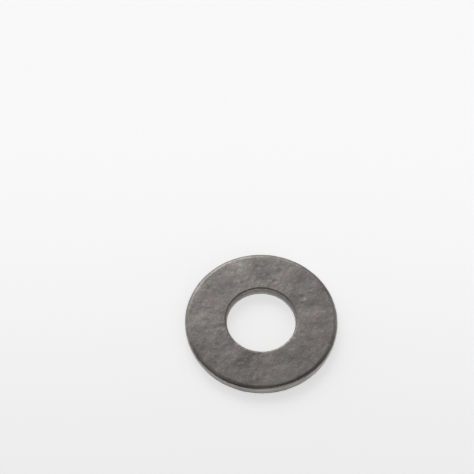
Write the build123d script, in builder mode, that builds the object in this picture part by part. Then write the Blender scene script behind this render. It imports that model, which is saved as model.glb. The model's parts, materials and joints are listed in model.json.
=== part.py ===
from build123d import *
import os

# Flat washer for a 1/4 in screw, stamped from sheet in a progressive die and tumbled.
# Millimetres, +Z up.  The origin is on the hole's axis, at the lower face.

OUTER_DIAMETER = 15.875    # 5/8 in
HOLE_DIAMETER = 7.144      # 9/32 in
THICKNESS = 1.27           # 0.050 in sheet
ROLL_WIDTH = 0.45          # die roll: how far the rounded edge reaches in across the face
ROLL_DEPTH = 0.30          # die roll: how far it reaches along the wall
LAND_HEIGHT = 0.40         # sheared, burnished stretch of wall next to the die roll
DIE_CLEARANCE = 0.08       # how far the torn wall beyond the land leans back from it
EDGE_BREAK = 0.12          # radius that tumbling leaves on the burr corners

outer_radius = OUTER_DIAMETER / 2
hole_radius = HOLE_DIAMETER / 2
outer_land_top = THICKNESS - ROLL_DEPTH
outer_land_bottom = outer_land_top - LAND_HEIGHT
hole_land_bottom = ROLL_DEPTH
hole_land_top = hole_land_bottom + LAND_HEIGHT
torn_outer_radius = outer_radius - DIE_CLEARANCE
torn_hole_radius = hole_radius + DIE_CLEARANCE
outer_roll_centre = (outer_radius - ROLL_WIDTH, outer_land_top)
hole_roll_centre = (hole_radius + ROLL_WIDTH, hole_land_bottom)

os.makedirs("parts", exist_ok=True)

# The washer's section, turned about the hole's axis.  The rim is blanked from one side of the
# sheet and the hole pierced from the other, so the rim's die roll is on the upper face, the
# hole's on the lower one, and the hole's wall is the rim's wall turned over.  Each wall goes
# through a die roll (a quarter of an ellipse, tangent to face and wall), an upright land, a torn
# zone that leans back by the die clearance, and a burr corner that tumbling has rounded.
with BuildPart() as flat_washer:
    with BuildSketch(Plane.XZ) as section:
        with BuildLine():
            Line((hole_roll_centre[0], 0), (torn_outer_radius, 0))
            Polyline(
                (torn_outer_radius, 0),
                (outer_radius, outer_land_bottom),
                (outer_radius, outer_land_top),
            )
            EllipticalCenterArc(
                outer_roll_centre,
                ROLL_WIDTH,
                ROLL_DEPTH,
                start_angle=0,
                arc_size=90,
            )
            Line((outer_roll_centre[0], THICKNESS), (torn_hole_radius, THICKNESS))
            Polyline(
                (torn_hole_radius, THICKNESS),
                (hole_radius, hole_land_top),
                (hole_radius, hole_land_bottom),
            )
            EllipticalCenterArc(
                hole_roll_centre,
                ROLL_WIDTH,
                ROLL_DEPTH,
                start_angle=180,
                arc_size=90,
            )
        make_face()
        lower_corners = section.vertices().group_by(Axis.Y)[0].sort_by(Axis.X)
        upper_corners = section.vertices().group_by(Axis.Y)[-1].sort_by(Axis.X)
        fillet([lower_corners[-1], upper_corners[0]], radius=EDGE_BREAK)
    revolve(axis=Axis.Z)

flat_washer.part.label = "flat_washer"
export_step(flat_washer.part, "parts/flat_washer.step")
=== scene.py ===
import json
import math

import bpy
import numpy as np
from bpy.props import FloatProperty, FloatVectorProperty, IntProperty, PointerProperty
from bpy.types import Operator, Panel, PropertyGroup
from mathutils import Matrix, Vector


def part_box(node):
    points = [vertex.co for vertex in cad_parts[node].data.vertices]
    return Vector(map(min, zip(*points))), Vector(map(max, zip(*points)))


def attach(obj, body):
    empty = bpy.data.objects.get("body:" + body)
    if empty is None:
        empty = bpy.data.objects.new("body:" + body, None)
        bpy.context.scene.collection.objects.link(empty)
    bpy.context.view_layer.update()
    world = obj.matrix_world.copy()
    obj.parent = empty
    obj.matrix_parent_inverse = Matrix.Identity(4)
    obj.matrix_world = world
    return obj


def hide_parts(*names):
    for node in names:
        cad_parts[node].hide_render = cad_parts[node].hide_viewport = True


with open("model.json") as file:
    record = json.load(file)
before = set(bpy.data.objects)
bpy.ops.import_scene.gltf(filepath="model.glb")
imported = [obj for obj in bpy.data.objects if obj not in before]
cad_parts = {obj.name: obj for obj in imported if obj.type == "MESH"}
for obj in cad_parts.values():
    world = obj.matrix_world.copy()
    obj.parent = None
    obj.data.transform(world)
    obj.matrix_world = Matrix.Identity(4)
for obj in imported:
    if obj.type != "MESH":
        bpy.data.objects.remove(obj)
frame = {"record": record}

bl_info = {
    "name": "Stamped flat washer",
    "version": (1, 0, 0),
    "blender": (4, 5, 0),
    "location": "View3D > Sidebar > Washer",
    "description": "A tumbled stainless flat washer built on its packed model, and a small studio for it",
    "category": "Mesh",
}

NODE = "flat_washer"
BODY = "root"
MM = 0.001

CAD_LOW, CAD_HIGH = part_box(NODE)
BORE = next(mount for mount in frame["record"]["mounts"] if mount["name"] == "bore")
OUTER_RADIUS = (CAD_HIGH.x - CAD_LOW.x) / 2
HOLE_RADIUS = BORE["dims"]["r_mm"] * MM
THICKNESS = CAD_HIGH.z - CAD_LOW.z


def length(name, description, default):
    """A property that holds a length in metres."""
    return FloatProperty(
        name=name,
        description=description,
        default=default,
        min=0,
        precision=6,
        unit="LENGTH",
        subtype="DISTANCE",
    )


def share(name, description, default):
    """A property that holds a plain number, such as a share of something."""
    return FloatProperty(name=name, description=description, default=default, precision=3)


def colour(name, description, default):
    """A property that holds a linear red, green and blue."""
    return FloatVectorProperty(
        name=name,
        description=description,
        default=default,
        min=0,
        max=1,
        size=3,
        subtype="COLOR",
    )


class WasherSize(PropertyGroup):
    """The stamped section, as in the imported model."""

    outer_radius: length("Outer radius", "From the hole's axis to the outer wall", OUTER_RADIUS)
    hole_radius: length("Hole radius", "From the hole's axis to its wall", HOLE_RADIUS)
    thickness: length("Thickness", "Of the sheet that the washer is stamped from", THICKNESS)
    roll_width: length("Die roll width", "How far a rounded edge reaches in across its face", 0.45 * MM)
    roll_depth: length("Die roll depth", "How far a rounded edge reaches along its wall", 0.30 * MM)
    land_height: length("Land height", "Of the smooth sheared stretch of wall", 0.40 * MM)
    die_clearance: length("Die clearance", "How far the torn stretch leans back", 0.08 * MM)
    edge_break: length("Edge break", "Radius of the tumbled burr corners", 0.12 * MM)
    around: IntProperty(name="Steps around", description="Mesh steps round it", default=640, min=64)


class TumbleMarks(PropertyGroup):
    """What the press and the tumbling barrel leave on the surface."""

    seed: IntProperty(name="Seed", description="Picks which marks are made", default=7)
    dents: IntProperty(name="Dents", description="How many small dents there are", default=640, min=0)
    dent_radius: length("Dent radius", "Of the largest dents", 0.30 * MM)
    dent_depth: length("Dent depth", "Of the largest dents", 0.011 * MM)
    peel_cell: length("Peel size", "Of the largest lumps of the orange peel on the surface", 1.6 * MM)
    peel_octaves: IntProperty(
        name="Peel octaves",
        description="Each half the size of the last",
        default=4,
        min=1,
    )
    peel_steepness: share("Peel steepness", "Height of the largest octave over its size", 0.0070)
    peel_fade: share("Peel fade", "Height of each octave over that of the one before", 0.43)
    tear_cell: length("Tear grain", "Size of the torn grain on the walls", 0.20 * MM)
    tear_depth: length("Tear depth", "Of the torn grain on the walls", 0.016 * MM)
    tear_wander: length("Tear wander", "How far the torn stretch's edge wanders", 0.06 * MM)


class SteelFinish(PropertyGroup):
    """The tumbled stainless steel."""

    warm: colour("Warm patch", "Where the face is a little warmer", (0.343, 0.304, 0.291))
    cool: colour("Cool patch", "Where the face is a little greener", (0.316, 0.303, 0.281))
    # The dark colour mixed into the pits, the torn stretch of wall and the land to make them darker.
    darkening: colour("Tumbling soot", "What stays in pits and torn grain", (0.100, 0.090, 0.082))
    roughness: share("Roughness", "Of the faces", 0.29)
    patch_size: length("Patch size", "Of the warm and cool patches", 1.7 * MM)
    cloud_size: length("Cloud size", "Of the broad light and dark patches", 2.4 * MM)
    mottle_size: length("Mottle size", "Of the fine mottle, and the spacing of the pits", 0.42 * MM)
    grain_size: length("Grain size", "Of the finest texture", 0.055 * MM)
    scratch_length: length("Scratch length", "Of the hair scratches on the faces", 2.0 * MM)
    relief_height: length("Relief height", "Height of the bump that the texture makes", 0.03 * MM)


class Studio(PropertyGroup):
    """The floor, the light and the camera."""

    elevation: FloatProperty(
        name="Camera elevation",
        description="Above the floor",
        default=math.radians(58.8),
        subtype="ANGLE",
    )
    lens: FloatProperty(
        name="Lens",
        description="Focal length on a 36 mm sensor",
        default=98.7,
        unit="CAMERA",
    )
    distance: length("Camera distance", "From the camera to the washer", 0.1358)
    right_of_centre: share("Right of centre", "The washer's place in the frame's width", 0.0511)
    below_centre: share("Below centre", "The washer's place in the frame's height", 0.1798)
    floor_colour: colour("Floor", "The pale floor", (0.85, 0.85, 0.85))
    floor_glow: share("Floor glow", "Light from under the floor, as on a light table", 0.625)
    near_fade: share("Near fade", "How much less the floor glows in front of the washer", 0.13)
    far_fade: share("Far fade", "How much less it glows far off, where it meets the wall", 0.035)
    back: share("Back panel", "Brightness of the soft panel behind the washer", 2.46)
    left: share("Left panel", "Brightness of the low soft panel at the left", 0.80)
    upper_left: share("Upper left panel", "Brightness of the high soft panel at the left", 0.38)
    right: share("Right panel", "Brightness of the soft panel behind and to the right", 0.55)
    front: share("Front panel", "Brightness of the soft panel in front, to the right", 0.94)
    horizon: share("Horizon", "Brightness of the pale wall, seen low down", 0.92)


# Shaders ------------------------------------------------------------------------------------------


class Wire:
    """A shader socket that can be reckoned with: + - and * on it add the Math nodes."""

    def __init__(self, shade, socket):
        self.shade = shade
        self.socket = socket

    def __add__(self, other):
        return self.shade.math("ADD", self, other)

    def __radd__(self, other):
        return self.shade.math("ADD", other, self)

    def __sub__(self, other):
        return self.shade.math("SUBTRACT", self, other)

    def __rsub__(self, other):
        return self.shade.math("SUBTRACT", other, self)

    def __mul__(self, other):
        return self.shade.math("MULTIPLY", self, other)

    def __rmul__(self, other):
        return self.shade.math("MULTIPLY", other, self)


class Shade:
    """A node tree being filled."""

    def __init__(self, tree):
        self.tree = tree
        tree.nodes.clear()

    def node(self, kind, settings, inputs):
        """Adds a node: its settings first, then a value or a Wire for each named or numbered socket."""
        made = self.tree.nodes.new(kind)
        for name, value in settings.items():
            setattr(made, name, value)
        for name, value in inputs.items():
            if isinstance(value, Wire):
                self.tree.links.new(value.socket, made.inputs[name])
            else:
                made.inputs[name].default_value = value
        return made

    def out(self, kind, settings, inputs, output=0):
        """The same, giving back one of the node's outputs, numbered or named."""
        return Wire(self, self.node(kind, settings, inputs).outputs[output])

    def math(self, operation, *values):
        """A Math node on up to three numbers or Wires."""
        return self.out("ShaderNodeMath", {"operation": operation}, dict(enumerate(values)))

    def span(self, value, low, high, to_low=0.0, to_high=1.0):
        """Maps low..high on to to_low..to_high with a smooth step, and holds it there."""
        inputs = {
            "Value": value,
            "From Min": low,
            "From Max": high,
            "To Min": to_low,
            "To Max": to_high,
        }
        return self.out("ShaderNodeMapRange", {"interpolation_type": "SMOOTHSTEP"}, inputs)

    def blend(self, factor, first, second, how="MIX"):
        """A colour between two others, or one worked on by the other."""
        settings = {"data_type": "RGBA", "blend_type": how}
        return self.out("ShaderNodeMix", settings, {0: factor, 6: first, 7: second}, output=2)

    def stretched(self, place, scales, turn=0.0):
        """The place scaled along each axis and turned about Z, so that noise on it is drawn out."""
        inputs = {"Vector": place, "Rotation": (0.0, 0.0, turn), "Scale": scales}
        return self.out("ShaderNodeMapping", {"vector_type": "TEXTURE"}, inputs)

    def noise(self, place, size, detail=2.0, rough=0.5, twist=0.0):
        """Noise from 0 to 1, whose lumps are about the given size in metres."""
        inputs = {
            "Vector": place,
            "Scale": 1.0 / size,
            "Detail": detail,
            "Roughness": rough,
            "Distortion": twist,
        }
        return self.out("ShaderNodeTexNoise", {"noise_dimensions": "3D"}, inputs)

    def grey(self, value):
        """A colour with the same value for red, green and blue."""
        return self.out("ShaderNodeCombineColor", {}, {0: value, 1: value, 2: value})

    def mask(self, name):
        """A number that the mesh carries at each vertex."""
        settings = {"attribute_type": "GEOMETRY", "attribute_name": name}
        return self.out("ShaderNodeAttribute", settings, {}, output="Fac")


def opaque(rgb):
    """A colour with an alpha of one."""
    return (*rgb, 1.0)


def brushed(s, place, turn, long, wide, detail=2.0, twist=0.0):
    """Noise drawn out one way across the faces, less its middle value; each lump has a length and width."""
    drawn_out = s.stretched(place, (long, wide, wide), turn)
    return s.noise(drawn_out, 1.0, detail=detail, twist=twist) - 0.5


def steel_material(finish):
    """Tumbled stainless: satin grey faces, mottled, scratched and pitted, with burnished lands and torn
    walls. The pits, the torn walls and the lands are made darker by mixing in a dark colour."""
    material = bpy.data.materials.new("tumbled_stainless")
    material.use_nodes = True
    s = Shade(material.node_tree)
    place = s.out("ShaderNodeTexCoord", {}, {}, output="Object")
    land = s.mask("land")
    torn = s.mask("torn")
    edge = s.mask("edge")
    open_face = 1.0 - land - torn

    # The patterns: the hue from 0 to 1, the others from about -0.5 to 0.5.  A turn is in radians about Z,
    # and the lengths and widths of the lumps are in millimetres.
    hue = s.noise(place, finish.patch_size, detail=2.0)
    cloud = s.noise(place, finish.cloud_size, detail=2.0) - 0.5
    rubbed = 0.0
    for turn, long, wide in ((0.30, 0.80, 0.22), (1.25, 0.90, 0.20), (2.30, 0.70, 0.24)):
        rubbed = brushed(s, place, turn, long * MM, wide * MM) + rubbed
    mottle = s.noise(place, finish.mottle_size, detail=4.0, rough=0.65) - 0.5
    grain = s.noise(place, finish.grain_size, detail=3.0, rough=0.6) - 0.5
    upright = s.stretched(place, (0.05 * MM, 0.05 * MM, 1.2 * MM))
    drawn = s.noise(upright, 1.0, detail=2.0) - 0.5

    # Scratches and pits, each from 0 to 1: scratches are the crests of thin streaks.
    scratch = 0.0
    for turn, wide in ((0.15, 0.028), (0.75, 0.022), (1.35, 0.032), (2.05, 0.024), (2.70, 0.028)):
        streak = brushed(s, place, turn, finish.scratch_length, wide * MM, detail=1.0, twist=0.5)
        scratch = s.span(streak, 0.13, 0.22) + scratch
    scratch = scratch * open_face
    spacing = {"Vector": place, "Scale": 1.0 / finish.mottle_size}
    middle = s.out("ShaderNodeTexVoronoi", {"feature": "F1"}, spacing)
    pit = (1.0 - s.span(middle, 0.05, 0.14)) * s.span(cloud, -0.02, 0.12) * open_face

    # The colour, the roughness and the bump, each a sum of shares of the patterns.
    tone = s.blend(s.span(hue, 0.30, 0.70), opaque(finish.cool), opaque(finish.warm))
    light = 1.0 + cloud + rubbed * 0.30 + mottle * 0.60 + grain * 0.08 + scratch * 0.05
    light = light + drawn * 0.45 * land
    tone = s.blend(1.0, tone, s.grey(light), how="MULTIPLY")
    # The pits are made darker by mixing in the dark colour.
    tone = s.blend(pit * 0.55, tone, opaque(finish.darkening))
    # The torn stretch of wall is made darker by the dark colour, more where the grain and mottle are higher,
    # and the land by a flat 0.30 of it.
    torn_darkening = torn * s.span(grain + mottle, -0.25, 0.25, 0.20, 0.75)
    tone = s.blend(torn_darkening + land * 0.30, tone, opaque(finish.darkening))

    dull = finish.roughness - rubbed * 0.07 - mottle * 0.14 - grain * 0.10
    dull = dull + pit * 0.20 + torn * 0.16 - land * 0.13 + edge * 0.03 - scratch * 0.05

    relief = (mottle * 0.06 + rubbed * 0.035 + grain * 0.025 - scratch * 0.04) * (1.0 - land)
    relief = relief - pit * 0.25 + drawn * 0.70 * land + grain * 0.7 * torn
    raised = {"Strength": 1.0, "Distance": finish.relief_height, "Height": relief}
    bump = s.out("ShaderNodeBump", {}, raised)
    steel = s.out(
        "ShaderNodeBsdfPrincipled",
        {},
        {"Base Color": tone, "Metallic": 1.0, "Roughness": dull, "Normal": bump},
    )
    s.node("ShaderNodeOutputMaterial", {}, {"Surface": steel})
    return material


def floor_material(studio):
    """A matt board lit from under it.  It glows less in front of the washer, and a little less far off."""
    material = bpy.data.materials.new("pale_board")
    material.use_nodes = True
    s = Shade(material.node_tree)
    place = s.out("ShaderNodeTexCoord", {}, {}, output="Object")
    back = s.out("ShaderNodeSeparateXYZ", {}, {"Vector": place}, output="Y")
    reach = s.out("ShaderNodeVectorMath", {"operation": "LENGTH"}, {"Vector": place}, output="Value")
    glow = s.span(back, -35 * MM, 25 * MM, studio.floor_glow - studio.near_fade, studio.floor_glow)
    glow = glow - s.span(reach, 60 * MM, 200 * MM, 0.0, studio.far_fade)
    board = s.out(
        "ShaderNodeBsdfPrincipled",
        {},
        {
            "Base Color": opaque(studio.floor_colour),
            "Roughness": 1.0,
            "Specular IOR Level": 0.0,
            "Emission Color": s.grey(glow),
            "Emission Strength": 1.0,
        },
    )
    s.node("ShaderNodeOutputMaterial", {}, {"Surface": board})
    return material


# Surfaces -----------------------------------------------------------------------------------------


def lattice_noise(points, cell, seed):
    """Smooth noise from about -1 to 1: each corner of a cubic lattice holds a random slope, and a point
    takes the heights of its eight corners' slopes, mixed by the fade 6t^5 - 15t^4 + 10t^3 along each axis,
    and widened to fill the range."""
    widening = 1.6
    rng = np.random.default_rng(seed)
    order = rng.permutation(256)
    slopes = rng.normal(size=(256, 3))
    slopes /= np.linalg.norm(slopes, axis=1, keepdims=True)
    place = points / cell + rng.uniform(0, 256, 3)
    corner = np.floor(place).astype(int)
    inside = place - corner
    fade = inside**3 * (inside * (inside * 6 - 15) + 10)
    height = np.zeros(points.shape[:-1])
    for step in np.ndindex(2, 2, 2):
        near = (corner + step) % 256
        picked = order[(order[(order[near[..., 0]] + near[..., 1]) % 256] + near[..., 2]) % 256]
        rise = (slopes[picked] * (inside - step)).sum(axis=-1)
        height += rise * np.where(step, fade, 1 - fade).prod(axis=-1)
    return height * widening


def straight(start, end, count):
    """Points along a straight line, without its end."""
    along = np.linspace(0, 1, count, endpoint=False)[:, None]
    return np.array(start) * (1 - along) + np.array(end) * along


def quarter(centre, radii, first, count):
    """A quarter of an ellipse, anticlockwise from an angle: centre + radii * (cos, sin), without its end."""
    angle = first + np.linspace(0, math.pi / 2, count, endpoint=False)
    return np.array(centre) + np.array(radii) * np.stack([np.cos(angle), np.sin(angle)], axis=-1)


def section_outline(size):
    """The washer's section as a closed loop of (radius, height), anticlockwise from the lower face, with
    the kind of surface at each point.  Half of it goes along the lower face and up the rim's wall, through
    the burr corner, the torn stretch, the land and the die roll.  The other half is the same, turned half
    round in the section: each point is outer + hole less the radius, and the thickness less the height."""
    outer, hole, top = size.outer_radius, size.hole_radius, size.thickness
    lean, corner = size.die_clearance, size.edge_break
    roll = (size.roll_width, size.roll_depth)
    land_top = top - size.roll_depth
    land_foot = land_top - size.land_height
    foot = outer - lean
    stretches = [
        ("face", straight((hole + roll[0], 0), (foot - corner, 0), 45)),
        ("torn", quarter((foot - corner, corner), (corner, corner), -math.pi / 2, 4)),
        ("torn", straight((foot, corner), (outer, land_foot), 9)),
        ("land", straight((outer, land_foot), (outer, land_top), 7)),
        ("edge", quarter((outer - roll[0], land_top), roll, 0, 12)),
    ]
    half = np.concatenate([points for _, points in stretches])
    kinds = np.concatenate([[kind] * len(points) for kind, points in stretches])
    return np.concatenate([half, (outer + hole, top) - half]), np.tile(kinds, 2)


def ring_surface(outline, around):
    """The section carried round the Z axis: a point (radius, height) at an angle goes to
    (radius cos angle, radius sin angle, height), and its outward normal turns with it."""
    angle = np.linspace(0, 2 * math.pi, around, endpoint=False)[:, None]
    along = np.roll(outline, -1, axis=0) - np.roll(outline, 1, axis=0)
    along /= np.linalg.norm(along, axis=1, keepdims=True)

    def turned(radius, height):
        return np.stack([radius * np.cos(angle), radius * np.sin(angle), height + 0 * angle], axis=-1)

    return turned(outline[:, 0], outline[:, 1]), turned(along[:, 1], -along[:, 0])


def orange_peel(points, marks):
    """The height of the peel: octaves of noise, each with half the cell and a share of the height of the
    one before."""
    height = np.zeros(points.shape[:-1])
    for octave in range(marks.peel_octaves):
        noise = lattice_noise(points, marks.peel_cell / 2**octave, marks.seed + 10 + octave)
        height += marks.peel_cell * marks.peel_steepness * marks.peel_fade**octave * noise
    return height


def smooth_step(value, low, high):
    """0 below low, 1 above high, and 3t^2 - 2t^3 between them."""
    t = np.clip((value - low) / (high - low), 0, 1)
    return t * t * (3 - 2 * t)


def wall_masks(points, outline, kinds, size, marks):
    """How much of each point is torn wall, burnished land or rounded edge.  The line between land and torn
    stretch wanders: its height is the land's foot plus noise that changes with the place round the washer.
    The edge is the mean of each point and its two neighbours along the section."""
    wall = np.isin(kinds, ("torn", "land")) & (outline[:, 1] > 0) & (outline[:, 1] < size.thickness)
    at_rim = outline[:, 0] > (size.outer_radius + size.hole_radius) / 2
    above_burr = np.where(at_rim, outline[:, 1], size.thickness - outline[:, 1])
    wander = marks.tear_wander * lattice_noise(points * (1, 1, 0), 3 * marks.tear_cell, marks.seed + 4)
    land_foot = size.thickness - size.roll_depth - size.land_height + wander
    half_fade = marks.tear_wander / 2
    land = wall * smooth_step(above_burr, land_foot - half_fade, land_foot + half_fade)
    edge = (kinds == "edge") + 0 * land
    edge = (edge + np.roll(edge, 1, axis=1) + np.roll(edge, -1, axis=1)) / 3
    return {"torn": wall - land, "land": land, "edge": edge}


def dents(points, marks):
    """The height of all the dents.  Each is a bowl, -depth exp(-q^2), in a low raised lip, a ring of
    depth * lip exp(-sharpness (q - lip_place)^2), where q is the distance from the dent's centre over its
    radius.  Small dents are commoner than large ones."""
    lip = 0.22
    lip_place = 1.6
    sharpness = 4
    smallest = 0.25
    rng = np.random.default_rng(marks.seed)
    flat = points.reshape(-1, 3)
    height = np.zeros(len(flat))
    for _ in range(marks.dents):
        centre = flat[rng.integers(len(flat))]
        size = smallest + (1 - smallest) * rng.random() ** 3
        depth = marks.dent_depth * size * rng.uniform(0.4, 1.0)
        q = np.linalg.norm(flat - centre, axis=1) / (marks.dent_radius * size)
        height += depth * (lip * np.exp(-((q - lip_place) ** 2) * sharpness) - np.exp(-(q**2)))
    return height.reshape(points.shape[:-1])


def closed_mesh(name, points):
    """A mesh from a grid of points that closes on itself both ways, with its faces pointing outwards."""
    rows, columns = points.shape[:2]
    index = np.arange(rows * columns).reshape(rows, columns)
    right = np.roll(index, -1, axis=0)
    quads = np.stack([index, right, np.roll(right, -1, axis=1), np.roll(index, -1, axis=1)], axis=-1)
    mesh = bpy.data.meshes.new(name)
    mesh.vertices.add(points.size // 3)
    mesh.vertices.foreach_set("co", points.astype(np.float32).ravel())
    mesh.loops.add(quads.size)
    mesh.loops.foreach_set("vertex_index", quads.astype(np.int32).ravel())
    mesh.polygons.add(quads.size // 4)
    mesh.polygons.foreach_set("loop_start", np.arange(0, quads.size, 4, dtype=np.int32))
    mesh.polygons.foreach_set("use_smooth", np.ones(quads.size // 4, dtype=bool))
    mesh.update(calc_edges=True)
    mesh.validate()
    return mesh


def carry(mesh, name, values):
    """Stores one number for each vertex, for the material to read."""
    layer = mesh.attributes.new(name, "FLOAT", "POINT")
    layer.data.foreach_set("value", values.astype(np.float32).ravel())


def heading(azimuth, rise):
    """The direction at an azimuth, clockwise from +Y seen from above, and a rise above the floor, both in
    degrees."""
    turn = math.radians(azimuth)
    lift = math.radians(rise)
    across = math.cos(lift)
    return Vector((math.sin(turn) * across, math.cos(turn) * across, math.sin(lift)))


def add_object(name, data):
    """Puts data into the scene as an object at the origin."""
    made = bpy.data.objects.new(name, data)
    bpy.context.scene.collection.objects.link(made)
    return made


class MESH_OT_flat_washer(Operator):
    """Build the washer: the stamped section carried round, marked by press and barrel, in tumbled steel"""

    bl_idname = "mesh.flat_washer"
    bl_label = "Flat washer"

    def execute(self, context):
        size = context.scene.washer_size
        marks = context.scene.tumble_marks
        finish = context.scene.steel_finish
        outline, kinds = section_outline(size)
        points, normals = ring_surface(outline, size.around)
        masks = wall_masks(points, outline, kinds, size, marks)
        drawn_up = (1, 1, 0.6)
        sunk = 0.6
        tear = lattice_noise(points * drawn_up, marks.tear_cell, marks.seed + 1)
        relief = orange_peel(points, marks)
        relief += marks.tear_depth * (tear - sunk) * masks["torn"]
        relief += dents(points, marks)
        points = points + normals * relief[..., None]
        points[..., 2] = np.clip(points[..., 2], 0, None)

        mesh = closed_mesh("washer_body", points)
        for kind, values in masks.items():
            carry(mesh, kind, values)
        mesh.materials.append(steel_material(finish))
        washer = add_object("washer_body", mesh)
        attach(washer, BODY)
        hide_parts(NODE)
        return {"FINISHED"}


class SCENE_OT_washer_studio(Operator):
    """Set the stage: a pale floor that glows a little, soft panels in a ringed room, and the camera"""

    bl_idname = "scene.washer_studio"
    bl_label = "Studio"

    def execute(self, context):
        studio = context.scene.studio
        self.floor(studio)
        self.room(context.scene, studio)
        self.camera(context.scene, studio)
        view = context.scene.view_settings
        view.view_transform = "Standard"
        view.look = "None"
        return {"FINISHED"}

    @staticmethod
    def floor(studio):
        reach = 1.5
        drop = 0.015 * MM
        mesh = bpy.data.meshes.new("floor")
        corners = [(-reach, -reach), (reach, -reach), (reach, reach), (-reach, reach)]
        mesh.from_pydata([(x, y, -drop) for x, y in corners], [], [(0, 1, 2, 3)])
        mesh.materials.append(floor_material(studio))
        add_object("floor", mesh)

    @staticmethod
    def room(scene, studio):
        """A dark room with soft panels.  Each glows as strength * exp(tightness * (cosine - 1)), where
        the cosine is of the angle from the panel's middle.  A pale wall rings the room near the floor,
        and fades out between two heights, given as the sine of the rise."""
        wall_fades = (0.14, 0.22)
        # Strength, azimuth and rise in degrees, tightness.
        panels = (
            (studio.back, -12, 40, 22.0),
            (studio.right, 54, 39, 14.6),
            (studio.front, 148, 31, 14.6),
            (studio.upper_left, 262, 65, 14.6),
            (studio.left, 302, 23, 9.8),
        )
        world = bpy.data.worlds.new("room")
        world.use_nodes = True
        scene.world = world
        s = Shade(world.node_tree)
        toward = s.out("ShaderNodeTexCoord", {}, {}, output="Generated")
        height = s.out("ShaderNodeSeparateXYZ", {}, {"Vector": toward}, output="Z")
        glow = 0.0
        for strength, azimuth, rise, tightness in panels:
            aim = heading(azimuth, rise)
            dot = {"operation": "DOT_PRODUCT"}
            cosine = s.out("ShaderNodeVectorMath", dot, {0: toward, 1: aim}, output="Value")
            glow = s.math("EXPONENT", (cosine - 1.0) * tightness) * strength + glow
        low = s.span(height, *wall_fades, 1.0, 0.0)
        glow = low * studio.horizon + (1.0 - low) * glow
        sky = s.out("ShaderNodeBackground", {}, {"Color": s.grey(glow), "Strength": 1.0})
        s.node("ShaderNodeOutputWorld", {}, {"Surface": sky})

    @staticmethod
    def camera(scene, studio):
        data = bpy.data.cameras.new("camera")
        data.lens = studio.lens
        data.clip_start = 0.01
        data.clip_end = 10.0
        camera = add_object("camera", data)
        turn = Matrix.Rotation(math.pi / 2 - studio.elevation, 3, "X")
        reach = data.sensor_width / data.lens
        aside = studio.right_of_centre * reach
        below = studio.below_centre * reach
        ray = turn @ Vector((aside, -below, -1.0)).normalized()
        camera.rotation_euler = turn.to_euler()
        camera.location = Vector((0, 0, THICKNESS / 2)) - ray * studio.distance
        scene.camera = camera


class VIEW3D_PT_washer(Panel):
    """The washer's steps, in order"""

    bl_idname = "VIEW3D_PT_washer"
    bl_label = "Flat washer"
    bl_space_type = "VIEW_3D"
    bl_region_type = "UI"
    bl_category = "Washer"

    def draw(self, context):
        for operator in OPERATORS:
            self.layout.operator(operator.bl_idname)


GROUPS = {
    "washer_size": WasherSize,
    "tumble_marks": TumbleMarks,
    "steel_finish": SteelFinish,
    "studio": Studio,
}
OPERATORS = (MESH_OT_flat_washer, SCENE_OT_washer_studio)


def register():
    for made in (*GROUPS.values(), *OPERATORS, VIEW3D_PT_washer):
        bpy.utils.register_class(made)
    for name, group in GROUPS.items():
        setattr(bpy.types.Scene, name, PointerProperty(type=group))


def unregister():
    for name in GROUPS:
        delattr(bpy.types.Scene, name)
    for made in (VIEW3D_PT_washer, *OPERATORS, *GROUPS.values()):
        bpy.utils.unregister_class(made)


def main():
    register()
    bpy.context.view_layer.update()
    bpy.ops.mesh.flat_washer()
    bpy.ops.scene.washer_studio()


if __name__ == "__main__":
    main()
